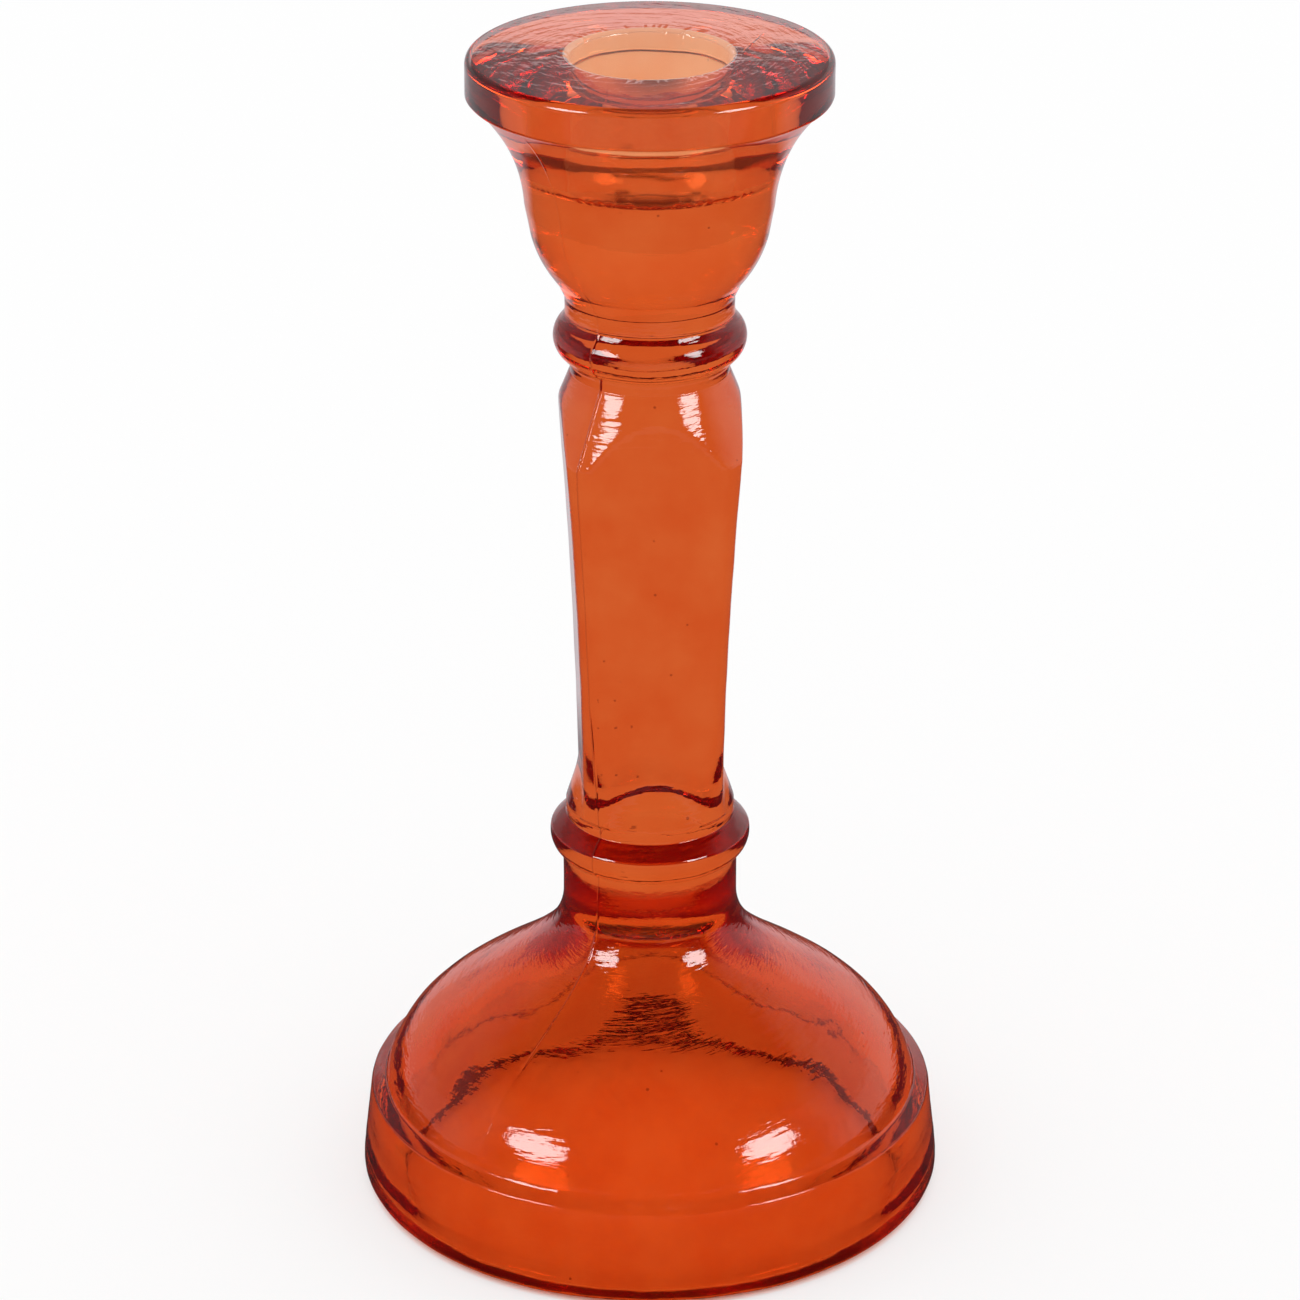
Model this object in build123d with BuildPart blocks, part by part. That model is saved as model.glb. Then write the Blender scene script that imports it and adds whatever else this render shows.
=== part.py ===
from build123d import *

import os
from math import acos, ceil, degrees, sqrt

# Pressed-glass candlestick: flanged socket, two ring knops, square tapered column, hollow domed foot.
#
# The whole stick is one casting of glass. It is modelled as its natural sections, one solid each, which
# meet face to face on level planes: drip rim, candle cup, upper knop, column, lower knop, foot neck,
# foot dome and foot band. All sizes are millimetres, +Z is up, and the origin is the centre of the
# circle on which the foot stands. The flat faces of the column look along X and Y.

# ---- driving dimensions -------------------------------------------------------------------------
HEIGHT = 175.0              # table to the top of the rim

RIM_RADIUS = 25.7           # round drip rim
RIM_THICKNESS = 6.0
RIM_TOP_ROUND = 1.2
RIM_BOTTOM_ROUND = 0.7

SOCKET_RADIUS = 11.2        # takes a 22 mm dinner candle
SOCKET_DEPTH = 17.6         # mouth to floor
SOCKET_MOUTH_ROUND = 0.8

CUP_RADIUS = 17.6           # bell-shaped cup, where its flare begins
CUP_FLARE_MIDDLE = (20.3, 162.9)  # points here and below are (radius, height)
CUP_FLARE_BOTTOM_Z = 153.6
CUP_BELLY = (16.8, 149.2)
CUP_BOWL_MIDDLE = (15.6, 145.9)
CUP_HEM = (13.15, 142.1)
CUP_BOTTOM_Z = 139.9
WAIST_RADIUS = 12.1         # between the cup and the upper knop
WAIST_BOTTOM = (12.05, 138.2)
WAIST_HOLLOW_MIDDLE = (12.22, 137.05)

UPPER_KNOP_RADIUS = 13.75
UPPER_KNOP_Z = 133.6        # height of its widest circle
UPPER_KNOP_TOP = (12.75, 136.1)
UPPER_KNOP_BOTTOM = (11.5, 130.4)
SHOULDER_NECK_RADIUS = 11.4  # below the upper knop
SHOULDER_TOP_Z = 129.0

COLUMN_TOP_HALF = 13.4      # half the width across flats, where the shoulder cuts the column
COLUMN_MIDDLE_HALF = 11.0
COLUMN_MIDDLE_Z = 92.0
COLUMN_BOTTOM_HALF = 10.1
COLUMN_CORNER_ROUND = 3.4
COLUMN_BOTTOM_Z = 59.1
SHOULDER_COLLAR_Z = 128.6
SHOULDER_CORNER_RADIUS = 15.8  # the shoulder cone where it meets the corners of the column
SHOULDER_CORNER_Z = 117.6
FOOT_CORNER_TOP_Z = 80.0    # from here down the corners of the column are turned inwards
FOOT_CORNER = (13.6, 70.0)
FOOT_CORNER_MIDDLE = (13.2, 65.0)
FOOT_CORNER_INSET = 0.15    # of the corners inside the edge of the bead

BASE_RADIUS = 12.35         # round bead at the foot of the column
BASE_EDGE_Z = 61.0
BASE_SLOPE_MIDDLE = (11.3, 64.0)
BASE_TOP = (9.7, 67.2)

LOWER_KNOP_SLOPE_MIDDLE = (13.44, 58.18)
LOWER_KNOP_BROW_TOP = (14.42, 57.15)
LOWER_KNOP_BROW_MIDDLE = (14.56, 56.93)
LOWER_KNOP_BROW = (14.64, 56.68)
LOWER_KNOP_BELLY = (14.35, 54.47)
LOWER_KNOP_BOTTOM_Z = 52.8

NECK_RADIUS = 12.8          # round neck that flares into the foot
NECK_BOTTOM_Z = 46.2

DOME_FOOT_RADIUS = 39.7     # where the dome lands on the ledge of the band
LEDGE_INNER_Z = 15.6
DOME_WALL = [(14.2, 41.0), (18.9, 35.9), (28.4, 29.0), (36.3, 22.4)]
DOME_TOP_DIRECTION, DOME_FOOT_DIRECTION = (0, -1), (0.22, -1)
LEDGE_OUTER_Z = 14.5
BAND_TOP_RADIUS = 41.9
FOOT_RADIUS = 43.6          # widest circle, just above the table
FOOT_EDGE_ROUND = 2.1
LEDGE_ROUND = 0.6

HOLLOW_MOUTH_RADIUS = 36.55  # mouth of the hollow under the foot
HOLLOW_MOUTH_ROUND = 1.2
HOLLOW_TOP_Z = 42.2         # blunt tip of the hollow, just under the neck
HOLLOW_TIP_SPHERE = 20.0    # radius of the flat cap on the tip
HOLLOW_TIP_RADIUS = 5.6     # where the cap meets the rounded edge of the tip
HOLLOW_NECK_RADIUS = 7.7    # where that edge meets the flaring wall
HOLLOW_NECK_Z = 39.6
HOLLOW_TIP_EDGE_MIDDLE = (7.05, 40.7)
HOLLOW_WALL = [(35.2, 10.2), (30.6, 18.0), (22.8, 24.4), (13.4, 30.85), (9.45, 35.75)]
HOLLOW_MOUTH_DIRECTION, HOLLOW_NECK_DIRECTION = (-0.05, 1), (-0.35, 1)

CUTTER_EXTRA = 1.0          # how far a cutting shape runs past what it cuts
WALL_SPACING = 4.0          # between the points that hold a freely curved wall
SWEEPS = 60                 # enough for the slopes of such a wall to settle

# ---- sizes that follow ----------------------------------------------------------------------------
rim_bottom_z = HEIGHT - RIM_THICKNESS
socket_floor_z = HEIGHT - SOCKET_DEPTH


def turned(outline):
    """The face inside a half outline in the XZ plane, given as a function that draws its lines."""
    with BuildSketch(Plane.XZ) as section:
        with BuildLine():
            outline()
        make_face()
    return section.sketch


def close_to_axis(top, bottom):
    """Close a half outline that starts at point top and ends at point bottom, through the axis."""
    Polyline(bottom, (0, bottom[1]), (0, top[1]), top)


def smooth_wall(points, start, end):
    """Points on the smoothest curve through points, which leaves and arrives in those directions."""
    knots = [Vector(*point) for point in points]
    gaps = [(after - before).length for before, after in zip(knots, knots[1:])]
    slopes = [Vector(*start).normalized()] + [Vector(0, 0)] * len(gaps)
    slopes[-1] = Vector(*end).normalized()
    for _ in range(SWEEPS):
        for i in range(1, len(gaps)):
            before, after = gaps[i - 1], gaps[i]
            pull = (knots[i] - knots[i - 1]) * (3 * after / before)
            push = (knots[i + 1] - knots[i]) * (3 * before / after)
            neighbours = slopes[i - 1] * after + slopes[i + 1] * before
            slopes[i] = (pull + push - neighbours) * (0.5 / (before + after))
    wall = []
    for i, gap in enumerate(gaps):
        count = ceil(gap / WALL_SPACING)
        for u in (step / count for step in range(count)):
            share = 3 * u ** 2 - 2 * u ** 3
            between = knots[i] * (1 - share) + knots[i + 1] * share
            leaving = slopes[i] * gap * (u ** 3 - 2 * u ** 2 + u)
            arriving = slopes[i + 1] * gap * (u ** 3 - u ** 2)
            wall.append(between + leaving + arriving)
    return wall + [knots[-1]]


# ---- the socket, drawn once and cut from the drip rim and from the candle cup -----------------------
def socket_outline():
    mouth = (SOCKET_RADIUS, HEIGHT + CUTTER_EXTRA)
    floor_edge = (SOCKET_RADIUS, socket_floor_z)
    Line(mouth, floor_edge)
    close_to_axis(mouth, floor_edge)


socket_section = turned(socket_outline)


# ---- the hollow under the foot, drawn once and cut from the dome and from the band ------------------
def hollow_outline():
    cap_drop = sqrt(HOLLOW_TIP_SPHERE ** 2 - HOLLOW_TIP_RADIUS ** 2)
    cap_centre = (0, HOLLOW_TOP_Z - HOLLOW_TIP_SPHERE)
    cap_edge = (HOLLOW_TIP_RADIUS, cap_centre[1] + cap_drop)
    cap_angle = degrees(acos(HOLLOW_TIP_RADIUS / HOLLOW_TIP_SPHERE))
    neck = (HOLLOW_NECK_RADIUS, HOLLOW_NECK_Z)
    mouth = (HOLLOW_MOUTH_RADIUS, 0)
    below = (HOLLOW_MOUTH_RADIUS, -CUTTER_EXTRA)
    CenterArc(cap_centre, HOLLOW_TIP_SPHERE, cap_angle, 90 - cap_angle)
    ThreePointArc(cap_edge, HOLLOW_TIP_EDGE_MIDDLE, neck)
    wall = smooth_wall([mouth, *HOLLOW_WALL, neck], HOLLOW_MOUTH_DIRECTION, HOLLOW_NECK_DIRECTION)
    Spline(wall, tangents=[HOLLOW_MOUTH_DIRECTION, HOLLOW_NECK_DIRECTION])
    Polyline(mouth, below, (0, -CUTTER_EXTRA), (0, HOLLOW_TOP_Z))


hollow_section = turned(hollow_outline)


# ---- drip rim: a flat round flange with a bore through it -----------------------------------------
with BuildPart() as drip_rim:
    with BuildSketch(Plane.XY.offset(rim_bottom_z)):
        Circle(RIM_RADIUS)
    extrude(amount=RIM_THICKNESS)
    rim_edges = drip_rim.edges().filter_by(GeomType.CIRCLE).sort_by(Axis.Z)
    fillet(rim_edges[-1], RIM_TOP_ROUND)
    fillet(drip_rim.edges().filter_by(GeomType.CIRCLE).sort_by(Axis.Z)[0], RIM_BOTTOM_ROUND)
    revolve(socket_section, axis=Axis.Z, mode=Mode.SUBTRACT)
    top_edges = drip_rim.faces().sort_by(Axis.Z)[-1].edges().sort_by(SortBy.LENGTH)
    fillet(top_edges[0], SOCKET_MOUTH_ROUND)
drip_rim.part.label = "drip_rim"


# ---- candle cup: a bell that flares out under the rim, with the blind end of the socket -------------
def cup_outline():
    flare_top = (RIM_RADIUS - RIM_BOTTOM_ROUND, rim_bottom_z)
    flare_bottom = (CUP_RADIUS, CUP_FLARE_BOTTOM_Z)
    waist = (WAIST_RADIUS, CUP_BOTTOM_Z)
    ThreePointArc(flare_top, CUP_FLARE_MIDDLE, flare_bottom)
    Line(flare_bottom, CUP_BELLY)
    ThreePointArc(CUP_BELLY, CUP_BOWL_MIDDLE, CUP_HEM)
    Line(CUP_HEM, waist)
    close_to_axis(flare_top, waist)


with BuildPart() as candle_cup:
    revolve(turned(cup_outline), axis=Axis.Z)
    revolve(socket_section, axis=Axis.Z, mode=Mode.SUBTRACT)
candle_cup.part.label = "candle_cup"


# ---- upper knop: a waist and a round ring -----------------------------------------------------------
def upper_knop_outline():
    waist_top = (WAIST_RADIUS, CUP_BOTTOM_Z)
    neck = (SHOULDER_NECK_RADIUS, SHOULDER_TOP_Z)
    Line(waist_top, WAIST_BOTTOM)
    ThreePointArc(WAIST_BOTTOM, WAIST_HOLLOW_MIDDLE, UPPER_KNOP_TOP)
    ThreePointArc(UPPER_KNOP_TOP, (UPPER_KNOP_RADIUS, UPPER_KNOP_Z), UPPER_KNOP_BOTTOM)
    Line(UPPER_KNOP_BOTTOM, neck)
    close_to_axis(waist_top, neck)


with BuildPart() as upper_knop:
    revolve(turned(upper_knop_outline), axis=Axis.Z)
upper_knop.part.label = "upper_knop"


# ---- column: square with hollow-curved sides and rounded corners, cut by a cone at the top ----------
def column_side_outline():
    top = (COLUMN_TOP_HALF, SHOULDER_TOP_Z)
    bottom = (COLUMN_BOTTOM_HALF, COLUMN_BOTTOM_Z)
    ThreePointArc(top, (COLUMN_MIDDLE_HALF, COLUMN_MIDDLE_Z), bottom)
    Polyline(bottom, (-bottom[0], bottom[1]))
    ThreePointArc((-bottom[0], bottom[1]), (-COLUMN_MIDDLE_HALF, COLUMN_MIDDLE_Z), (-top[0], top[1]))
    Polyline((-top[0], top[1]), top)


def column_envelope_outline():
    neck = (SHOULDER_NECK_RADIUS, SHOULDER_TOP_Z)
    collar = (SHOULDER_NECK_RADIUS, SHOULDER_COLLAR_Z)
    corner_top = (SHOULDER_CORNER_RADIUS, SHOULDER_CORNER_Z)
    corner_bottom = (SHOULDER_CORNER_RADIUS, FOOT_CORNER_TOP_Z)
    bottom = (BASE_RADIUS - FOOT_CORNER_INSET, BASE_EDGE_Z)
    Polyline(neck, collar, corner_top, corner_bottom, FOOT_CORNER)
    ThreePointArc(FOOT_CORNER, FOOT_CORNER_MIDDLE, bottom)
    close_to_axis(neck, bottom)


def column_base_outline():
    edge = (BASE_RADIUS, BASE_EDGE_Z)
    bottom = (BASE_RADIUS, COLUMN_BOTTOM_Z)
    ThreePointArc(BASE_TOP, BASE_SLOPE_MIDDLE, edge)
    Line(edge, bottom)
    close_to_axis(BASE_TOP, bottom)


with BuildPart() as column:
    with BuildSketch(Plane.XZ):
        with BuildLine():
            column_side_outline()
        make_face()
    extrude(amount=COLUMN_TOP_HALF + CUTTER_EXTRA, both=True)
    with BuildSketch(Plane.YZ):
        with BuildLine():
            column_side_outline()
        make_face()
    extrude(amount=COLUMN_TOP_HALF + CUTTER_EXTRA, both=True, mode=Mode.INTERSECT)
    corners = [e for e in column.edges() if e.bounding_box().size.Z > COLUMN_BOTTOM_HALF]
    fillet(corners, COLUMN_CORNER_ROUND)
    revolve(turned(column_envelope_outline), axis=Axis.Z, mode=Mode.INTERSECT)
    revolve(turned(column_base_outline), axis=Axis.Z)
column.part.label = "column"


# ---- lower knop: a full round ring at the foot of the column ----------------------------------------
def lower_knop_outline():
    bead_edge = (BASE_RADIUS, COLUMN_BOTTOM_Z)
    neck = (NECK_RADIUS, LOWER_KNOP_BOTTOM_Z)
    ThreePointArc(bead_edge, LOWER_KNOP_SLOPE_MIDDLE, LOWER_KNOP_BROW_TOP)
    ThreePointArc(LOWER_KNOP_BROW_TOP, LOWER_KNOP_BROW_MIDDLE, LOWER_KNOP_BROW)
    ThreePointArc(LOWER_KNOP_BROW, LOWER_KNOP_BELLY, neck)
    close_to_axis(bead_edge, neck)


with BuildPart() as lower_knop:
    revolve(turned(lower_knop_outline), axis=Axis.Z)
lower_knop.part.label = "lower_knop"


# ---- foot neck: a short, solid, round neck ----------------------------------------------------------
with BuildPart() as foot_neck:
    with BuildSketch(Plane.XY.offset(NECK_BOTTOM_Z)):
        Circle(NECK_RADIUS)
    extrude(amount=LOWER_KNOP_BOTTOM_Z - NECK_BOTTOM_Z)
foot_neck.part.label = "foot_neck"


# ---- foot dome: a hollow shell that sweeps out from the neck ----------------------------------------
def dome_outline():
    neck = (NECK_RADIUS, NECK_BOTTOM_Z)
    foot = (DOME_FOOT_RADIUS, LEDGE_INNER_Z)
    wall = smooth_wall([neck, *DOME_WALL, foot], DOME_TOP_DIRECTION, DOME_FOOT_DIRECTION)
    Spline(wall, tangents=[DOME_TOP_DIRECTION, DOME_FOOT_DIRECTION])
    close_to_axis(neck, foot)


with BuildPart() as foot_dome:
    revolve(turned(dome_outline), axis=Axis.Z)
    revolve(hollow_section, axis=Axis.Z, mode=Mode.SUBTRACT)
foot_dome.part.label = "foot_dome"


# ---- foot band: the ring on which the stick stands, with a sloping ledge round its top --------------
def band_outline():
    inner = (DOME_FOOT_RADIUS, LEDGE_INNER_Z)
    ledge = (BAND_TOP_RADIUS, LEDGE_OUTER_Z)
    widest = (FOOT_RADIUS, 0)
    Polyline(inner, ledge, widest)
    close_to_axis(inner, widest)


with BuildPart() as foot_band:
    revolve(turned(band_outline), axis=Axis.Z)
    revolve(hollow_section, axis=Axis.Z, mode=Mode.SUBTRACT)
    bottom_edges = foot_band.faces().sort_by(Axis.Z)[0].edges().sort_by(SortBy.LENGTH)
    fillet(bottom_edges[-1], FOOT_EDGE_ROUND)
    bottom_edges = foot_band.faces().sort_by(Axis.Z)[0].edges().sort_by(SortBy.LENGTH)
    fillet(bottom_edges[0], HOLLOW_MOUTH_ROUND)
    band_circles = foot_band.edges().filter_by(GeomType.CIRCLE)
    ledge_edge = band_circles.filter_by_position(Axis.Z, LEDGE_OUTER_Z, LEDGE_OUTER_Z)
    fillet(ledge_edge, LEDGE_ROUND)
foot_band.part.label = "foot_band"


os.makedirs("parts", exist_ok=True)
sections = (drip_rim, candle_cup, upper_knop, column, lower_knop, foot_neck, foot_dome, foot_band)
for section in sections:
    export_step(section.part, f"parts/{section.part.label}.step")
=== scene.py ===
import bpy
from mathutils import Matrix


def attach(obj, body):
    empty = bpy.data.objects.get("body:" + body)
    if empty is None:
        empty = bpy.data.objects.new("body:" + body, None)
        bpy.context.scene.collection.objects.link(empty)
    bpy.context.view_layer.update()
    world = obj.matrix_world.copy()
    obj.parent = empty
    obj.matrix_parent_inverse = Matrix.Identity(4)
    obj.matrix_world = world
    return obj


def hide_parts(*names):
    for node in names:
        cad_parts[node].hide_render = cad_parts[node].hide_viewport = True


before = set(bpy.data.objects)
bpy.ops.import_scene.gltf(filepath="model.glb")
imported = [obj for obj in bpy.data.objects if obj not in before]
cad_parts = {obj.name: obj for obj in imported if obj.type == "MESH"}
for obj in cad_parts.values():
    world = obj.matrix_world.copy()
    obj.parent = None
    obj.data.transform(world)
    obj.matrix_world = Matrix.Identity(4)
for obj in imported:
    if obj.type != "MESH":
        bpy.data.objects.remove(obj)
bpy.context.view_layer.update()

import math

import bpy
import numpy as np
from mathutils import Vector

# Lengths are millimetres until mesh_piece turns them into metres. The materials, the stage and the
# camera are in metres.
MM = 0.001


# ---- curves, as lists of (radius, height) points ------------------------------------------------
def line(start, end, step):
    """Points from start up to, but not including, end."""
    start, end = np.array(start, float), np.array(end, float)
    count = max(math.ceil(np.linalg.norm(end - start) / step), 1)
    return [tuple(start + (end - start) * i / count) for i in range(count)]


def circle_through(a, b, c):
    """Centre and radius of the circle through three points."""
    (x1, y1), (x2, y2), (x3, y3) = a, b, c
    double = 2 * (x1 * (y2 - y3) + x2 * (y3 - y1) + x3 * (y1 - y2))
    s1, s2, s3 = x1 * x1 + y1 * y1, x2 * x2 + y2 * y2, x3 * x3 + y3 * y3
    centre = np.array([s1 * (y2 - y3) + s2 * (y3 - y1) + s3 * (y1 - y2),
                       s1 * (x3 - x2) + s2 * (x1 - x3) + s3 * (x2 - x1)]) / double
    return centre, np.linalg.norm(a - centre)


def arc(start, middle, end, step):
    """Points of the arc through three points, without its end."""
    centre, radius = circle_through(start, middle, end)
    angles = [math.atan2(*(p - centre)[::-1]) for p in (start, middle, end)]
    turn = (angles[2] - angles[0]) % (2 * math.pi)
    if (angles[1] - angles[0]) % (2 * math.pi) > turn:
        turn -= 2 * math.pi
    count = max(math.ceil(abs(turn) * radius / step), 4)
    return [tuple(centre + radius * np.array([math.cos(angles[0] + turn * i / count),
                                              math.sin(angles[0] + turn * i / count)]))
            for i in range(count)]


def spline(points, start, end, step):
    """Points of the smooth curve through points that leaves and arrives in the directions start and
    end, without its end."""
    points = np.array(points, float)
    knots = np.concatenate([[0], np.cumsum(np.linalg.norm(np.diff(points, axis=0), axis=1))])
    gaps = np.diff(knots)
    count = len(points)
    system, right = np.zeros((count, count)), np.zeros((count, 2))
    system[0, 0] = system[-1, -1] = 1
    right[0] = np.array(start, float) / np.linalg.norm(start)
    right[-1] = np.array(end, float) / np.linalg.norm(end)
    for i in range(1, count - 1):
        system[i, i - 1:i + 2] = gaps[i], 2 * (gaps[i - 1] + gaps[i]), gaps[i - 1]
        right[i] = 3 * (gaps[i] * (points[i] - points[i - 1]) / gaps[i - 1]
                        + gaps[i - 1] * (points[i + 1] - points[i]) / gaps[i])
    slope = np.linalg.solve(system, right)
    made = []
    for i, gap in enumerate(gaps):
        spans = max(math.ceil(gap / step), 2)
        for u in np.arange(spans) / spans:
            made.append(tuple((2 * u ** 3 - 3 * u ** 2 + 1) * points[i]
                              + (u ** 3 - 2 * u ** 2 + u) * gap * slope[i]
                              + (3 * u ** 2 - 2 * u ** 3) * points[i + 1]
                              + (u ** 3 - u ** 2) * gap * slope[i + 1]))
    return made


def rounded(corner, before, after, radius, steps=5):
    """Points that round a corner between the directions to before and after."""
    corner, before, after = (np.array(p, float) for p in (corner, before, after))
    u = (before - corner) / np.linalg.norm(before - corner)
    v = (after - corner) / np.linalg.norm(after - corner)
    half = math.acos(np.clip(u @ v, -1, 1)) / 2
    reach = radius / math.tan(half)
    middle = corner + (u + v) / np.linalg.norm(u + v) * (radius / math.sin(half) - radius)
    return arc(corner + u * reach, middle, corner + v * reach, step=reach / steps) + \
        [tuple(corner + v * reach)]


# ---- driving sizes, with places as (radius, height) ----------------------------------------------
RIM_R, RIM_TOP, RIM_BOTTOM = 25.7, 175.0, 169.0
RIM_TOP_ROUND, RIM_BOTTOM_ROUND = 1.2, 0.7
SOCKET_R, SOCKET_FLOOR = 11.2, 157.4
SOCKET_FLOOR_ROUND, SOCKET_MOUTH_ROUND = 2.2, 0.8
CUP_FLARE, CUP_SIDE, CUP_BELLY = (20.3, 162.9), (17.6, 153.6), (16.8, 149.2)
CUP_BOWL, CUP_HEM, CUP_BOTTOM = (15.6, 145.9), (13.15, 142.1), (12.1, 139.9)
WAIST_BOTTOM, WAIST_HOLLOW = (12.05, 138.2), (12.22, 137.05)
UPPER_KNOP_TOP, UPPER_KNOP_SIDE, UPPER_KNOP_BOTTOM = (12.75, 136.1), (13.75, 133.6), (11.5, 130.4)
SHOULDER_TOP = (11.4, 129.0)
COLUMN_SIDE = ((13.4, 129.0), (11.0, 92.0), (10.1, 59.1))  # half the width across flats
COLUMN_CORNER = 3.4
COLUMN_FOOT = ((13.6, 70.0), (13.2, 65.0), (12.2, 61.0))  # its corners, drawn in towards the base
BASE_TOP, BASE_SLOPE, BASE_EDGE = (9.7, 67.2), (11.3, 64.0), (12.35, 61.0)
BASE_BOTTOM = (12.35, 59.1)
LOWER_KNOP_SLOPE = (13.44, 58.18)
LOWER_KNOP_BROW = ((14.42, 57.15), (14.56, 56.93), (14.64, 56.68))
LOWER_KNOP_SIDE, LOWER_KNOP_BOTTOM = (14.35, 54.47), (12.8, 52.8)
NECK_BOTTOM = (12.8, 46.2)
DOME_WALL = ((14.2, 41.0), (18.9, 35.9), (28.4, 29.0), (36.3, 22.4))
DOME_DIRECTIONS = ((0, -1), (0.22, -1))  # in which a free curve leaves and arrives
DOME_BOTTOM, LEDGE_EDGE = (39.7, 15.6), (41.9, 14.5)
FOOT_CORNER, FOOT_ROUND, LEDGE_ROUND = (43.6, 0.0), 2.1, 0.6
HOLLOW_MOUTH, HOLLOW_MOUTH_ROUND = (36.55, 0.0), 1.2
HOLLOW_WALL = ((36.5, 1.2), (35.2, 10.2), (30.6, 18.0), (22.8, 24.4), (13.4, 30.85), (9.45, 35.75))
HOLLOW_DIRECTIONS = ((-0.05, 1), (-0.35, 1))
HOLLOW_NECK, HOLLOW_EDGE = (7.7, 39.6), (7.05, 40.7)
HOLLOW_CAP = ((5.6, 41.4), (2.8, 42.0), (0, 42.2))
FOOT_LIMIT = 43.335  # the widest the foot may be, once its surface is uneven

# ---- the outline, stretch by stretch; a straight stretch stops short of the round after it ------
floor_edge = rounded((SOCKET_R, SOCKET_FLOOR), (0, SOCKET_FLOOR), (SOCKET_R, RIM_TOP),
                     SOCKET_FLOOR_ROUND, 9)
mouth_edge = rounded((SOCKET_R, RIM_TOP), (SOCKET_R, SOCKET_FLOOR), (RIM_R, RIM_TOP),
                     SOCKET_MOUTH_ROUND)
rim_edge = rounded((RIM_R, RIM_TOP), (0, RIM_TOP), (RIM_R, RIM_BOTTOM), RIM_TOP_ROUND)
rim_under = rounded((RIM_R, RIM_BOTTOM), (RIM_R, RIM_TOP), (0, RIM_BOTTOM), RIM_BOTTOM_ROUND)
cup = (arc((RIM_R - RIM_BOTTOM_ROUND, RIM_BOTTOM), CUP_FLARE, CUP_SIDE, 0.9)
       + line(CUP_SIDE, CUP_BELLY, 0.8)
       + arc(CUP_BELLY, CUP_BOWL, CUP_HEM, 0.6)
       + line(CUP_HEM, CUP_BOTTOM, 0.4))
upper_knop = (line(CUP_BOTTOM, WAIST_BOTTOM, 0.3)
              + arc(WAIST_BOTTOM, WAIST_HOLLOW, UPPER_KNOP_TOP, 0.3)
              + arc(UPPER_KNOP_TOP, UPPER_KNOP_SIDE, UPPER_KNOP_BOTTOM, 0.12)
              + line(UPPER_KNOP_BOTTOM, SHOULDER_TOP, 0.12))
lower_knop = (arc(BASE_BOTTOM, LOWER_KNOP_SLOPE, LOWER_KNOP_BROW[0], 0.2)
              + arc(*LOWER_KNOP_BROW, 0.08)
              + arc(LOWER_KNOP_BROW[-1], LOWER_KNOP_SIDE, LOWER_KNOP_BOTTOM, 0.3))
neck = line(LOWER_KNOP_BOTTOM, NECK_BOTTOM, 0.6)
dome = spline([NECK_BOTTOM, *DOME_WALL, DOME_BOTTOM], *DOME_DIRECTIONS, 0.6)
ledge_edge = rounded(LEDGE_EDGE, DOME_BOTTOM, FOOT_CORNER, LEDGE_ROUND)
foot_edge = rounded(FOOT_CORNER, LEDGE_EDGE, (0, 0), FOOT_ROUND, 7)
hollow_mouth = rounded(HOLLOW_MOUTH, FOOT_CORNER, HOLLOW_WALL[0], HOLLOW_MOUTH_ROUND)
hollow = (spline([*HOLLOW_WALL, HOLLOW_NECK], *HOLLOW_DIRECTIONS, 0.5)
          + arc(HOLLOW_NECK, HOLLOW_EDGE, HOLLOW_CAP[0], 0.2)
          + arc(*HOLLOW_CAP, 0.5) + [HOLLOW_CAP[-1]])

# The rows of the column are closest where it meets its shoulder and its base.
COLUMN_ROWS = ((129.0, 127.0, 0.12), (127.0, 110.0, 0.3), (110.0, 70.0, 0.9), (70.0, 59.3, 0.25))
column_heights = np.concatenate([np.arange(top, end, -gap) for top, end, gap in COLUMN_ROWS])


def smooth_min(a, b, soft):
    share = np.clip(0.5 + 0.5 * (b - a) / soft, 0, 1)
    return b * (1 - share) + a * share - soft * share * (1 - share)


def smooth_max(a, b, soft):
    return -smooth_min(-a, -b, soft)


def by_arc(start, middle, end):
    """Radius as a function of height, along the arc through three (radius, height) points."""
    (x, y), bend = circle_through(start, middle, end)
    side = 1 if middle[0] > x else -1
    return lambda z: x + side * np.sqrt(np.maximum(bend ** 2 - (z - y) ** 2, 0))


half_width = by_arc(*COLUMN_SIDE)
foot_of_column = by_arc(*COLUMN_FOOT)
base_slope = by_arc(BASE_TOP, BASE_SLOPE, BASE_EDGE)
# The turned outline that cuts the square column: a cone at its top, and a narrower foot.
CUT_RADII = (11.0, 11.0, 12.2, 13.6, 15.8, 15.8, 11.4, 11.4)
CUT_HEIGHTS = (59.0, 60.9, 61.0, 70.0, 80.0, 117.6, 128.6, 129.2)
CUT_SOFT, BASE_SOFT = 0.5, 1.6  # how far the surfaces run into each other where they meet
BASE_FADE = 0.9                 # how fast the base's radius falls away above its top


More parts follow.
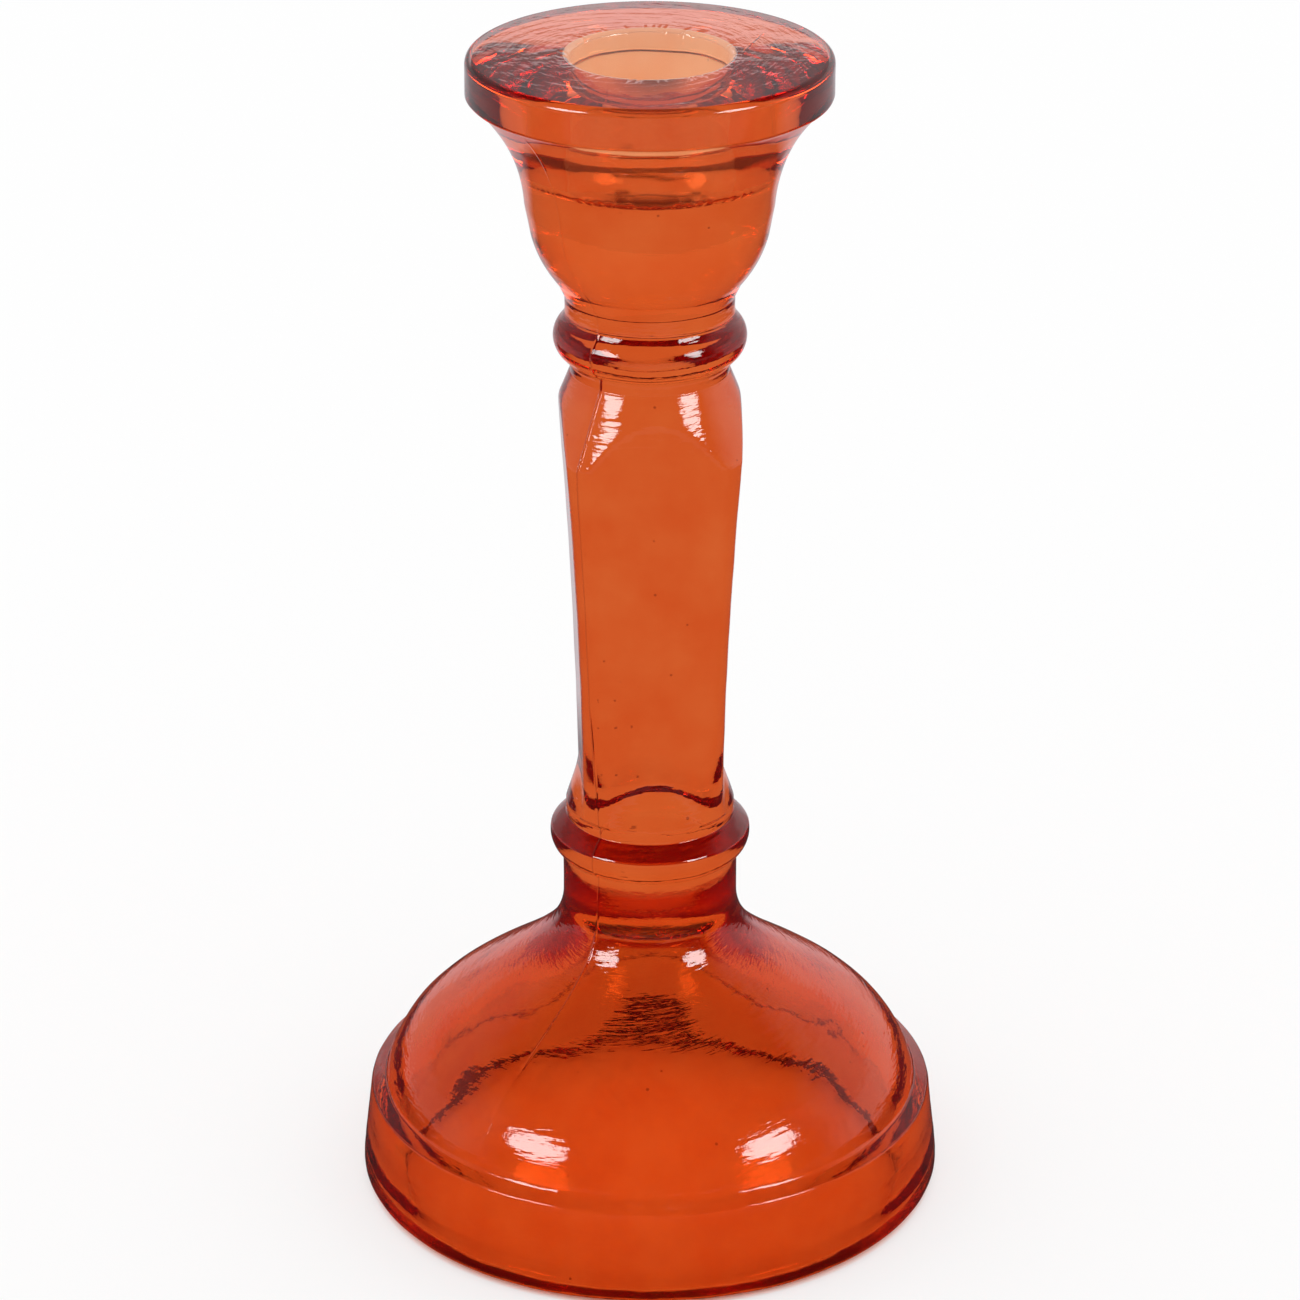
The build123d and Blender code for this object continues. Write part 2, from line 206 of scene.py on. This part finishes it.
def column_radius(angle, z):
    """Radius of the square column with rounded corners, its cone at the top and its base below."""
    half = half_width(z)
    folded = np.abs((angle + math.pi / 4) % (math.pi / 2) - math.pi / 4)
    flat = half / np.cos(folded)
    reach = (half - COLUMN_CORNER) * math.sqrt(2)
    off = math.pi / 4 - folded
    round_part = reach * np.cos(off) + np.sqrt(
        np.maximum(COLUMN_CORNER ** 2 - (reach * np.sin(off)) ** 2, 0))
    square = np.where(half * np.tan(folded) <= half - COLUMN_CORNER, flat, round_part)
    cut = np.interp(z, CUT_HEIGHTS, CUT_RADII)
    in_foot = (z < COLUMN_FOOT[0][1]) & (z > BASE_EDGE[1])
    cut = np.where(in_foot, foot_of_column(z), cut)
    above_base = BASE_TOP[0] - (z - BASE_TOP[1]) * BASE_FADE
    below_top = np.where(z < BASE_EDGE[1], BASE_EDGE[0], base_slope(z))
    base = np.where(z > BASE_TOP[1], above_base, below_top)
    return smooth_max(smooth_min(square, cut, CUT_SOFT), base, BASE_SOFT)


# ---- the rows: from the middle of the socket's floor, over the rim, down the outside and up the
# hollow to its tip, each as (radius, height, section, surface) -----------------------------------
COAT, BORE, CAVITY = 0, 1, 2
LEAST_STEP = 0.02
rows = []


def add(points, section, surface):
    for r, z in points:
        if not rows or math.hypot(rows[-1][0] - r, rows[-1][1] - z) > LEAST_STEP:
            rows.append((r, z, section, surface))


add(line((0.0, SOCKET_FLOOR), (8.9, SOCKET_FLOOR), 0.9), "candle_cup", BORE)
add(floor_edge, "candle_cup", BORE)
add(line((SOCKET_R, 159.8), (SOCKET_R, RIM_BOTTOM), 0.7), "candle_cup", BORE)
add(line((SOCKET_R, RIM_BOTTOM), (SOCKET_R, 174.1), 0.6), "drip_rim", BORE)
add(mouth_edge, "drip_rim", BORE)
add(line((12.1, RIM_TOP), (24.4, RIM_TOP), 0.8), "drip_rim", COAT)
add(rim_edge, "drip_rim", COAT)
add(line((RIM_R, 173.7), (RIM_R, 169.8), 0.6), "drip_rim", COAT)
add(rim_under[:-1], "drip_rim", COAT)
add(cup, "candle_cup", COAT)
add(upper_knop, "upper_knop", COAT)
add([(SHOULDER_TOP[0], z) for z in column_heights], "column", COAT)
add(lower_knop, "lower_knop", COAT)
add(neck, "foot_neck", COAT)
add(dome, "foot_dome", COAT)
add(line(DOME_BOTTOM, (41.2, 14.85), 0.5), "foot_band", COAT)
add(ledge_edge, "foot_band", COAT)
add(line((42.1, 13.6), (43.35, 2.6), 0.3), "foot_band", COAT)
add(foot_edge, "foot_band", COAT)
add(line((41.2, 0.0), (38.2, 0.0), 0.8), "foot_band", COAT)
add(hollow_mouth, "foot_band", CAVITY)
for point in hollow[1:]:
    add([point], "foot_dome" if point[1] > DOME_BOTTOM[1] else "foot_band", CAVITY)

ROWS = len(rows)
radius = np.array([row[0] for row in rows])
height = np.array([row[1] for row in rows])
section = [row[2] for row in rows]
surface = np.array([row[3] for row in rows])
steps = np.hypot(np.diff(radius, prepend=radius[0]), np.diff(height, prepend=height[0]))
along = np.cumsum(steps)


def by_height(*pairs):
    """A number for each row, from (height, number) pairs."""
    heights, numbers = zip(*pairs)
    return np.interp(height, heights, numbers)


# ---- the angles: even, with extra columns along the two mould seams -----------------------------
def wrap(angle):
    """The same direction, between half a turn back and half a turn on."""
    return (angle + math.pi) % (2 * math.pi) - math.pi


FIRST_SEAM = math.radians(-135)
SEAMS = (FIRST_SEAM, FIRST_SEAM + math.pi)
EVEN = 280
CLEARED = math.radians(2.3)  # on each side of a seam the even columns give way to the extra ones
even = np.arange(EVEN) / EVEN * 2 * math.pi - math.pi
extra = np.radians(np.arange(-2.0, 2.01, 0.25))
angles = [a for a in even if min(abs(wrap(a - seam)) for seam in SEAMS) > CLEARED]
for seam in SEAMS:
    angles += [wrap(seam + a) for a in extra]
angles = np.array(sorted(angles))
COLUMNS = len(angles)

# The seam wanders a little as it comes down, as a mould's parting line does.
wander = np.radians(by_height(
    (0, 0), (45, -4), (57, -6.4), (65, -4.5), (80, -1.3), (118, -1.1), (130, -4.0), (138, -4.5),
    (150, 2.9), (160, 3.6), (175, 3.6)))
wander[surface != COAT] = 0
PULLED = math.radians(12)  # how far round from a seam the columns still follow it
turns_to_seam = [np.abs(wrap(angles - seam)) for seam in SEAMS]
pull = np.maximum(*[np.exp(-(turn / PULLED) ** 2) for turn in turns_to_seam])
theta = angles[None, :] - wander[:, None] * pull[None, :]

R = np.repeat(radius[:, None], COLUMNS, 1)
Z = np.repeat(height[:, None], COLUMNS, 1)
is_column = np.array([s == "column" for s in section])
R[is_column] = column_radius(theta[is_column], Z[is_column])

X, Y = R * np.cos(theta), R * np.sin(theta)
P = np.stack([X, Y, Z], -1)


def grid_normals(P):
    """Unit normals of the grid, out of the glass, from central differences."""
    down = np.empty_like(P)
    down[1:-1] = P[2:] - P[:-2]
    down[0], down[-1] = P[1] - P[0], P[-1] - P[-2]
    round_ = np.roll(P, -1, 1) - np.roll(P, 1, 1)
    normal = np.cross(down, round_)
    # the rows in the middle of the socket's floor and at the hollow's tip are points
    normal[0], normal[-1] = (0, 0, 1), (0, 0, -1)
    return normal / np.maximum(np.linalg.norm(normal, axis=-1, keepdims=True), 1e-12)


# ---- what pressing and fire-polishing leave on the surface ---------------------------------------
rng = np.random.default_rng(11)


def ripple(amount, wavelength, count):
    """A sum of gentle waves over the surface."""
    total = np.zeros_like(Z)
    for _ in range(count):
        direction = rng.normal(size=3)
        direction /= np.linalg.norm(direction)
        phase = rng.uniform(0, 2 * math.pi)
        length = wavelength * rng.uniform(0.7, 1.5)
        total += np.sin(P @ direction * 2 * math.pi / length + phase)
    return total * amount / math.sqrt(count)


# push is how far each point moves out of the glass. It fades out at the two points on the axis, and
# nearly so on the flat top of the rim.
FADE_R, FADE_HEIGHTS, FADE_TO = 3.0, (174.0, 174.9), 0.1
push = ripple(0.022, 9.0, 12) + ripple(0.006, 3.5, 12)
push *= np.clip(R / FADE_R, 0, 1) * np.interp(Z, FADE_HEIGHTS, (1, FADE_TO))

# The seam is a low ridge with a dark line on it, both uneven along their length.
LINE_WIDTH, RIDGE_WIDTH = 0.09, 0.16
coat = (surface == COAT)[:, None]
ridge = 0.13 + 0.05 * np.sin(along / 7.0) + 0.03 * np.sin(along / 2.1 + 1)
ridge *= by_height((0, 0), (14, 0.3), (18, 0.25), (50, 0.5), (62, 1.1), (130, 1), (141, 0.4),
                   (165, 0.35), (169, 0))
dark = np.zeros_like(Z)
for turn in turns_to_seam:
    off_seam = turn[None, :] * R
    dark = np.maximum(dark, coat * np.exp(-(off_seam / LINE_WIDTH) ** 2))
    push += coat * ridge[:, None] * np.exp(-(off_seam / RIDGE_WIDTH) ** 2)
dark *= by_height((18, 0), (60, 0.5), (75, 0.35), (128, 0.5), (138, 0.12), (160, 0.1),
                  (168, 0))[:, None]


def scribble(first, last, step=1):
    """An uneven line round the glass, about 1 high."""
    waves = sum(rng.normal() * np.sin(k * angles + rng.uniform(0, 6.3))
                for k in range(first, last, step))
    return waves / waves.std()


def from_row(r, z):
    """How far each row is, along the outline, from the row nearest to that place."""
    return (along - along[np.argmin(np.hypot(radius - r, height - z))])[:, None]


# the ragged edge of the socket's floor
RAGGED_HEIGHT, RAGGED_WIDTH = 0.07, 0.9
ragged = RAGGED_HEIGHT * np.exp(-(from_row(SOCKET_R, SOCKET_FLOOR) / RAGGED_WIDTH) ** 2)
push += ragged * scribble(3, 60)[None, :]


def dirt_line(z0, width, azimuth, spread):
    """Dirt on the socket's wall, in an uneven line about the height z0, thickest at that azimuth."""
    where = np.exp(-(wrap(angles - math.radians(azimuth)) / math.radians(spread)) ** 2)
    patchy = np.clip(2.0 * where + 0.2 * scribble(9, 40, 2) - 0.7, 0, 1)
    return patchy * np.exp(-((Z - z0 - 0.25 * scribble(3, 11)) / width) ** 2)


# each as (how dark it is, height, width, azimuth, spread)
DIRT_LINES = ((1.0, 159.1, 1.0, -92, 34), (0.9, 164.2, 0.45, -94, 30), (1.0, 158.9, 0.7, 108, 10),
              (1.0, 158.7, 0.5, 47, 7), (0.8, 158.3, 0.25, 80, 50))
CLEAN_FLOOR_R = 9  # inside this radius the socket's floor stays clean
dirt = sum(level * dirt_line(*place) for level, *place in DIRT_LINES)
dark = np.maximum(dark, np.where(coat | (R < CLEAN_FLOOR_R), 0, np.clip(dirt, 0, 1)))

# small chips in the rounded edge of the mouth, where a line round it rises over a limit
MOUTH_EDGE = (11.4, 174.8)
CHIP_DEPTH, CHIP_WIDTH, CHIP_LIMIT = 0.4, 0.6, 1.3
chipped = np.clip(np.abs(scribble(20, 110, 3)) - CHIP_LIMIT, 0, 1.5)
push -= CHIP_DEPTH * np.exp(-(from_row(*MOUTH_EDGE) / CHIP_WIDTH) ** 2) * chipped[None, :]

# fine steps of the mould above and under the upper knop, low on the cup and on the foot's band,
# each as (height, width, how far it stands out)
MOULD_STEPS = ((137.3, 0.25, -0.05), (131.3, 0.16, -0.09), (130.0, 0.14, -0.07),
               (128.5, 0.16, -0.07), (152.6, 0.25, 0.03), (150.4, 0.2, 0.025),
               (9.8, 0.4, -0.03), (5.2, 0.5, 0.03))
for z0, width, amount in MOULD_STEPS:
    push += coat * amount * np.exp(-((Z - z0) / width) ** 2)

P = P + grid_normals(P) * push[..., None]
# what sets the glass's outer size is flat and true
P[..., 2] = np.clip(P[..., 2], 0, RIM_TOP)
P[..., :2] *= np.minimum(FOOT_LIMIT / np.maximum(np.hypot(P[..., 0], P[..., 1]), 1), 1)[..., None]
N = grid_normals(P)


# ---- node trees ------------------------------------------------------------------------------------
def rgba(colour):
    """What a colour socket takes, from another socket or from (red, green, blue)."""
    return (*colour, 1) if isinstance(colour, tuple) else colour


class Tree:
    """Makes and links the nodes of one shader."""

    def __init__(self, owner):
        owner.use_nodes = True
        self.nodes, self.links = owner.node_tree.nodes, owner.node_tree.links
        self.nodes.clear()

    def node(self, kind, inputs=(), **settings):
        made = self.nodes.new("ShaderNode" + kind)
        for key, value in settings.items():
            setattr(made, key, value)
        for key, value in dict(inputs).items():
            self.put(made.inputs[key], value)
        return made

    def put(self, socket, value):
        if isinstance(value, bpy.types.NodeSocket):
            self.links.new(value, socket)
        else:
            socket.default_value = value

    def math(self, operation, *values):
        return self.node("Math", dict(enumerate(values)), operation=operation).outputs["Value"]

    def ramp(self, value, start, end, low=0.0, high=1.0):
        """low where value is at start, high where it is at end, and even between."""
        return self.node("MapRange", {"Value": value, "From Min": start, "From Max": end,
                                      "To Min": low, "To Max": high}).outputs["Result"]

    def mix(self, low, high, factor):
        """A colour between two colours, each a socket or (red, green, blue)."""
        made = self.node("Mix", data_type="RGBA")
        self.put(made.inputs["A"], rgba(low))
        self.put(made.inputs["B"], rgba(high))
        self.put(made.inputs["Factor"], factor)
        return made.outputs["Result"]

    def product(self, first, *others):
        """All the factors multiplied, one after the other."""
        for other in others:
            first = self.math("MULTIPLY", first, other)
        return first

    def distance(self, x, y):
        """The length of (x, y)."""
        return self.math("SQRT", self.math("ADD", self.product(x, x), self.product(y, y)))

    def noise(self, vector, scale, detail):
        """Smooth noise about 0.5."""
        made = self.node("TexNoise", {"Vector": vector, "Scale": scale, "Detail": detail})
        return made.outputs["Fac"]


# ---- materials -----------------------------------------------------------------------------------
GLASS_IOR = 1.5
WEAK, SHARP = 0.001, 0.003  # the relief as light goes through it, and as it is thrown back
CALM_TOP = (0.143, 0.153, 1, 0.09)    # heights and levels: the relief all but ends above these
CALM_HOLLOW = (0.022, 0.028, 0.4, 1)  # and is weaker below these
ROUND_AXIS = 0.2  # how much the rings change on their way round, against how much they do outwards
GRAIN_SCALE = 500
SPECKS_SCALE, SPECK_EDGE, SPECK_SHADE = 420, 0.03, 0.7
MOTTLE_SCALE, MOTTLE_RANGE = 130, (0.3, 0.7)


def relief(tree, place, rings, grain, fineness, calm):
    """Height of the surface: fine turned rings, and unevenness between them."""
    x, y, z = tree.node("SeparateXYZ", {"Vector": place}).outputs
    along_rings = tree.node("CombineXYZ", {
        "X": tree.math("ADD", tree.distance(x, y), tree.product(x, ROUND_AXIS)),
        "Y": tree.product(y, ROUND_AXIS), "Z": z}).outputs["Vector"]
    turned = tree.product(tree.noise(along_rings, fineness, 2), rings)
    uneven = tree.product(tree.noise(place, GRAIN_SCALE, 3), grain)
    return tree.product(tree.math("ADD", turned, uneven), tree.ramp(z, *calm))


def burnt_specks(tree, place, amount):
    """Small spots, each in a cell of its own and as large as chance has it."""
    cells = tree.node("TexVoronoi", {"Vector": place, "Scale": SPECKS_SCALE})
    chance = tree.node("SeparateColor", {"Color": cells.outputs["Color"]}).outputs["Red"]
    size = tree.product(tree.math("POWER", chance, 4), amount)
    inside = tree.math("SUBTRACT", size, cells.outputs["Distance"])
    return tree.ramp(inside, 0, SPECK_EDGE, 0, SPECK_SHADE)


def mottled(tree, place, tint, mottle):
    """The tint of a coat that is thinner in some places and thicker in others."""
    thin, thick = (tuple(t * t ** power for t in tint) for power in (-mottle, mottle))
    return tree.mix(thin, thick, tree.ramp(tree.noise(place, MOTTLE_SCALE, 6), *MOTTLE_RANGE))


def glass_material(name, tint, inside_tint, rings, grain, fineness=1100, calm=CALM_TOP,
                   mark_tint=None, specks=0, mottle=0, haze=0):
    """Glass whose surface carries a coat: light takes on tint as it goes through, and inside_tint as
    it is thrown back inside, where it passes the coat twice.

    rings is the height in mm of the fine rings that the mould's lathe marks leave, and grain that of
    the fine unevenness between them; fineness sets how close the rings are, and calm where both
    fade. mark_tint is the coat's tint under the seam's line, dirt and specks. specks is the size of
    the largest speck of burnt coat, mottle how uneven the coat's thickness is, and haze the share of
    a pale film."""
    mat = bpy.data.materials.new(name)
    tree = Tree(mat)
    place = tree.node("TexCoord").outputs["Object"]
    bumps = relief(tree, place, rings, grain, fineness, calm)
    normal = tree.node("Bump", {"Height": bumps, "Distance": WEAK}).outputs["Normal"]
    sharp = tree.node("Bump", {"Height": bumps, "Distance": SHARP}).outputs["Normal"]

    colour = mottled(tree, place, tint, mottle) if mottle else tint
    if mark_tint:
        marks = tree.node("Attribute", attribute_name="seam").outputs["Fac"]
        if specks:
            marks = tree.math("MAXIMUM", burnt_specks(tree, place, specks), marks)
        colour = tree.mix(colour, mark_tint, marks)
    through = tree.node("BsdfRefraction", {
        "Color": rgba(colour), "Roughness": 0.0, "IOR": GLASS_IOR, "Normal": normal})
    backfacing = tree.node("NewGeometry").outputs["Backfacing"]
    thrown = tree.node("BsdfGlossy", {
        "Color": tree.mix((1, 1, 1), inside_tint, backfacing), "Roughness": 0.0, "Normal": sharp})
    fresnel = tree.node("Fresnel", {"IOR": GLASS_IOR, "Normal": normal}).outputs["Fac"]
    surface = tree.node("MixShader", {0: fresnel, 1: through.outputs["BSDF"],
                                      2: thrown.outputs["BSDF"]}).outputs["Shader"]
    if haze:
        film = tree.node("BsdfDiffuse", {"Color": (1, 0.93, 0.9, 1), "Normal": normal})
        surface = tree.node("MixShader", {0: haze, 1: surface,
                                          2: film.outputs["BSDF"]}).outputs["Shader"]
    tree.node("OutputMaterial", {"Surface": surface})
    return mat


GLASS = {
    COAT: glass_material("orange_coated_glass", (0.825, 0.316, 0.134), (0.83, 0.35, 0.145),
                         rings=0.026, grain=0.02, mark_tint=(0.38, 0.12, 0.06), specks=0.13,
                         mottle=0.09),
    BORE: glass_material("clear_inner_glass", (1.0, 0.99, 0.99), (1.0, 0.98, 0.98),
                         rings=0.01, grain=0.01, mark_tint=(0.25, 0.10, 0.05), haze=0.15),
    CAVITY: glass_material("hollow_glass", (0.88, 0.70, 0.52), (0.96, 0.62, 0.32),
                           rings=0.02, grain=0.024, fineness=2400, calm=CALM_HOLLOW),
}


# ---- the pieces ------------------------------------------------------------------------------------
def mesh_piece(name):
    """The rows of one section as a mesh that meets its neighbours rim to rim."""
    vertices, normals, seams, faces, kinds, index = [], [], [], [], [], {}

    def vertex(i, j):
        j %= COLUMNS
        if i in (0, ROWS - 1):
            j = 0
        if (i, j) not in index:
            index[i, j] = len(vertices)
            vertices.append(P[i, j] * MM)
            normals.append(N[i, j])
            seams.append(dark[i, j])
        return index[i, j]

    for i in range(ROWS - 1):
        if section[i] != name:
            continue
        for j in range(COLUMNS):
            quad = [vertex(i, j), vertex(i, j + 1), vertex(i + 1, j + 1), vertex(i + 1, j)]
            corners = list(dict.fromkeys(quad))  # a face at either point on the axis has three
            faces.append(corners[::-1])
            kinds.append(surface[i])
    mesh = bpy.data.meshes.new(name)
    mesh.from_pydata([tuple(v) for v in vertices], [], faces)
    used = sorted(set(kinds))
    for kind in used:
        mesh.materials.append(GLASS[kind])
    mesh.polygons.foreach_set("material_index", [used.index(kind) for kind in kinds])
    mesh.polygons.foreach_set("use_smooth", [True] * len(faces))
    mesh.attributes.new("seam", "FLOAT", "POINT").data.foreach_set("value", seams)
    mesh.validate()
    mesh.normals_split_custom_set_from_vertices([tuple(n) for n in normals])
    obj = bpy.data.objects.new(name + "_glass", mesh)
    bpy.context.collection.objects.link(obj)
    return obj


for name in ("drip_rim", "candle_cup", "upper_knop", "column", "lower_knop", "foot_neck", "foot_dome",
             "foot_band"):
    piece = mesh_piece(name)
    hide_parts(name)
    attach(piece, "root")

# ---- the studio: what the glass mirrors, outside or inside, differs from what lights the floor ---
FLOOR_LIGHT = 1.08


def light_paths(tree):
    """Factors that are 1 for what the glass mirrors, and for what its outer surface alone mirrors."""
    path = tree.node("LightPath").outputs
    mirrored = tree.product(tree.math("GREATER_THAN", path["Glossy Depth"], 0.5),
                            tree.math("LESS_THAN", path["Diffuse Depth"], 0.5))
    outside = tree.product(mirrored, tree.math("LESS_THAN", path["Transmission Depth"], 0.5))
    return mirrored, outside


def grey(level, tone=(1, 1, 1)):
    """The colour of that level, in a tone near white."""
    return tuple(level * t for t in tone)


# ---- the floor: pale to the eye, and dark with bright stretches in what the glass mirrors ---------
FLOOR_SIZE, FLOOR_Z = 6.0, -0.0003
FLOOR_GREY = 0.92
PAINTED_LIGHT_BEYOND_FOOT, PAINTED_LIGHT_UNDER_FOOT = 0.5, 0.10       # painted light: the floor's own glow, beyond the foot where it lightens the foot's shadow, and under it
# painted light: the orange of the glow under the foot, in place of light that came through the glass
PAINTED_LIGHT_UNDER_TINT = (1, 0.25, 0.06)
FOOT_SHADE = (0.0415, 0.043)             # from the axis: where one gives way to the other
IN_FRONT = (-0.02, -0.10)                # along y: where the camera's side begins
MIRROR_TINT = (1, 0.92, 0.96)
INSIDE_FRONT = 0.22                      # level of the camera's side, mirrored inside the glass
# what the outer surface mirrors: behind, a dark floor with a bright stretch straight behind and a
# bright far part, by the distance from the axis, and on the camera's side one change of level
NEAR_EDGE, FAR_EDGE = (0.13, 0.17), (0.375, 0.40)
NEAR_LEVEL, AHEAD_LEVEL, FAR_LEVEL = 0.05, 0.62, 0.55
AHEAD_SIDES = (0.45, 0.65)               # how far sideways a place is, for its distance
FRONT_EDGE, FRONT_LEVELS = (-0.29, -0.33), (0.06, 0.25)


def floor_material():
    mat = bpy.data.materials.new("pale_floor")
    tree = Tree(mat)
    mirrored, outside = light_paths(tree)
    x, y, _ = tree.node("SeparateXYZ", {"Vector": tree.node("TexCoord").outputs["Object"]}).outputs
    away = tree.distance(x, y)
    in_front = tree.product(tree.ramp(y, *IN_FRONT), mirrored)
    behind = tree.ramp(in_front, 0, 1, 1, 0)
    sideways = tree.math("DIVIDE", tree.math("ABSOLUTE", x), away)
    ahead = tree.product(tree.ramp(away, *NEAR_EDGE, 0, AHEAD_LEVEL),
                         tree.ramp(sideways, *AHEAD_SIDES, 1, 0))
    far = tree.math("MAXIMUM", ahead, tree.ramp(away, *FAR_EDGE, NEAR_LEVEL, FAR_LEVEL))
    front = tree.ramp(y, *FRONT_EDGE, *FRONT_LEVELS)
    level = tree.math("MAXIMUM", tree.product(far, behind), tree.product(front, in_front))
    seen_outside = tree.mix(grey(0), MIRROR_TINT, level)

    # painted light: beyond the foot the floor glows white to lighten the foot's shadow, and its colour is
    # as much darker as it glows; under the foot it glows orange in place of light through the glass
    beyond_foot = tree.ramp(away, *FOOT_SHADE)
    not_mirrored = tree.ramp(mirrored, 0, 1, 1, 0)
    glow = tree.product(tree.ramp(beyond_foot, 0, 1, PAINTED_LIGHT_UNDER_FOOT, PAINTED_LIGHT_BEYOND_FOOT), not_mirrored)
    plain = tree.mix(grey(FLOOR_GREY), grey(FLOOR_GREY - PAINTED_LIGHT_BEYOND_FOOT),
                     tree.product(beyond_foot, not_mirrored))
    seen_inside = tree.mix(plain, grey(INSIDE_FRONT), in_front)
    shader = tree.node("BsdfPrincipled", {
        "Base Color": tree.mix(seen_inside, seen_outside, outside),
        "Roughness": 0.9, "Specular IOR Level": 0.0,
        "Emission Color": tree.mix(PAINTED_LIGHT_UNDER_TINT, (1, 1, 1), beyond_foot),
        "Emission Strength": tree.product(glow, FLOOR_LIGHT)})
    tree.node("OutputMaterial", {"Surface": shader.outputs["BSDF"]})
    return mat


floor_mesh = bpy.data.meshes.new("floor")
floor_mesh.from_pydata([(x * FLOOR_SIZE, y * FLOOR_SIZE, FLOOR_Z)
                        for x, y in ((-1, -1), (1, -1), (1, 1), (-1, 1))], [], [(0, 1, 2, 3)])
floor_mesh.materials.append(floor_material())
floor = bpy.data.objects.new("floor", floor_mesh)
bpy.context.collection.objects.link(floor)

# ---- the world: even light all round, but in what the glass mirrors, a bright wall behind, a dark
# ceiling, and darkness on the camera's side. The outer surface also mirrors a brighter strip low in
# the middle of the wall. The ramps run along the direction's x, y and z.
DARK_INSIDE, DARK_OUTSIDE = 0.17, 0.03
CEILING, WALL_FRONT = (0.55, 0.75), (-0.35, 0.05)
WALL_TONE, WALL_INSIDE = (1, 0.95, 0.96), 1.0
WALL_SIDES, WALL_LEFT, WALL_RIGHT = (-0.6, 0.6), 0.4, 0.75
WALL_BREAK, UPPER_WALL = (0.2955, 0.3015), 0.65  # a sharp change of level across the wall
STRIP_BOTTOM, STRIP_MIDDLE, STRIP_LEVEL = (0.15, 0.28), (0.88, 0.94), 0.9


def studio_world():
    world = bpy.data.worlds.new("studio")
    tree = Tree(world)
    mirrored, outside = light_paths(tree)
    toward = tree.node("TexCoord").outputs["Generated"]
    x, y, z = tree.node("SeparateXYZ", {"Vector": toward}).outputs
    bright = tree.product(tree.ramp(z, *CEILING, 1, 0), tree.ramp(y, *WALL_FRONT))
    inner = tree.mix(grey(DARK_INSIDE), grey(WALL_INSIDE, WALL_TONE), bright)
    strip = tree.product(tree.ramp(z, *STRIP_BOTTOM), tree.ramp(z, *WALL_BREAK, 1, 0),
                         tree.ramp(y, *STRIP_MIDDLE), STRIP_LEVEL)
    wall = tree.product(tree.ramp(x, *WALL_SIDES, WALL_LEFT, WALL_RIGHT),
                        tree.ramp(z, *WALL_BREAK, 1, UPPER_WALL), bright)
    level = tree.math("ADD", wall, strip)
    channels = {channel: tree.math("ADD", tree.product(level, tone), DARK_OUTSIDE)
                for channel, tone in zip(("Red", "Green", "Blue"), WALL_TONE)}
    outer = tree.node("CombineColor", channels).outputs["Color"]
    studio = tree.mix(inner, outer, outside)
    background = tree.node("Background", {"Color": tree.mix(grey(FLOOR_LIGHT), studio, mirrored)})
    tree.node("OutputWorld", {"Surface": background.outputs["Background"]})
    world.cycles.sampling_method = "NONE"
    return world


scene = bpy.context.scene
scene.world = studio_world()

# ---- the softboxes -----------------------------------------------------------------------------------
SOFTBOX_DISTANCE, SOFTBOX_RISE, SOFTBOX_RADIANCE = 0.80, 0.47, 14
SOFTBOX_WIDTH, SOFTBOX_DEPTH = 0.46, 0.35
SOFTBOX_AIM = Vector((0, 0, 0.04))
OVAL_EDGE = (1.0, 0.75)  # distances from the middle, where 1 is half the width or depth


def oval_light(name):
    mat = bpy.data.materials.new(name)
    tree = Tree(mat)
    from_middle = tree.node("VectorMath", {0: tree.node("TexCoord").outputs["Object"]},
                            operation="LENGTH").outputs["Value"]
    glow = tree.node("Emission", {"Strength": SOFTBOX_RADIANCE}).outputs["Emission"]
    clear = tree.node("BsdfTransparent").outputs["BSDF"]
    oval = tree.node("MixShader", {0: tree.ramp(from_middle, *OVAL_EDGE), 1: clear, 2: glow})
    tree.node("OutputMaterial", {"Surface": oval.outputs["Shader"]})
    return mat


def softbox(name, azimuth):
    """An oval light with a soft edge, which the glass mirrors. It doesn't light the floor."""
    turn = math.radians(azimuth)
    place = Vector((math.sin(turn) * SOFTBOX_DISTANCE, -math.cos(turn) * SOFTBOX_DISTANCE,
                    SOFTBOX_RISE))
    mesh = bpy.data.meshes.new(name)
    mesh.from_pydata([(-1, -1, 0), (1, -1, 0), (1, 1, 0), (-1, 1, 0)], [], [(0, 1, 2, 3)])
    mesh.materials.append(oval_light(name))
    obj = bpy.data.objects.new(name, mesh)
    obj.location = place
    obj.rotation_euler = (SOFTBOX_AIM - place).to_track_quat("-Z", "Y").to_euler()
    obj.scale = (SOFTBOX_WIDTH / 2, SOFTBOX_DEPTH / 2, 1)
    obj.visible_diffuse = False
    obj.visible_camera = False
    obj.visible_shadow = False
    bpy.context.collection.objects.link(obj)


softbox("softbox_left", -57)
softbox("softbox_right", 51)

# ---- the camera ----------------------------------------------------------------------------------------
CAMERA_PLACE = (-0.0469, -0.6709, 0.3867)
CAMERA_DOWN, CAMERA_TURN = 24.19, -4  # degrees below the level, and round the upright axis
camera = bpy.data.cameras.new("camera")
camera.lens, camera.sensor_width = 140.3, 36.0
camera_obj = bpy.data.objects.new("camera", camera)
camera_obj.location = CAMERA_PLACE
camera_obj.rotation_euler = (math.radians(90 - CAMERA_DOWN), 0, math.radians(CAMERA_TURN))
bpy.context.collection.objects.link(camera_obj)
scene.camera = camera_obj
scene.view_settings.view_transform = "Standard"

# a path through the glass meets many surfaces
scene.cycles.max_bounces = 24
scene.cycles.transmission_bounces = 24
scene.cycles.glossy_bounces = 16
scene.cycles.caustics_reflective = True
scene.cycles.caustics_refractive = True
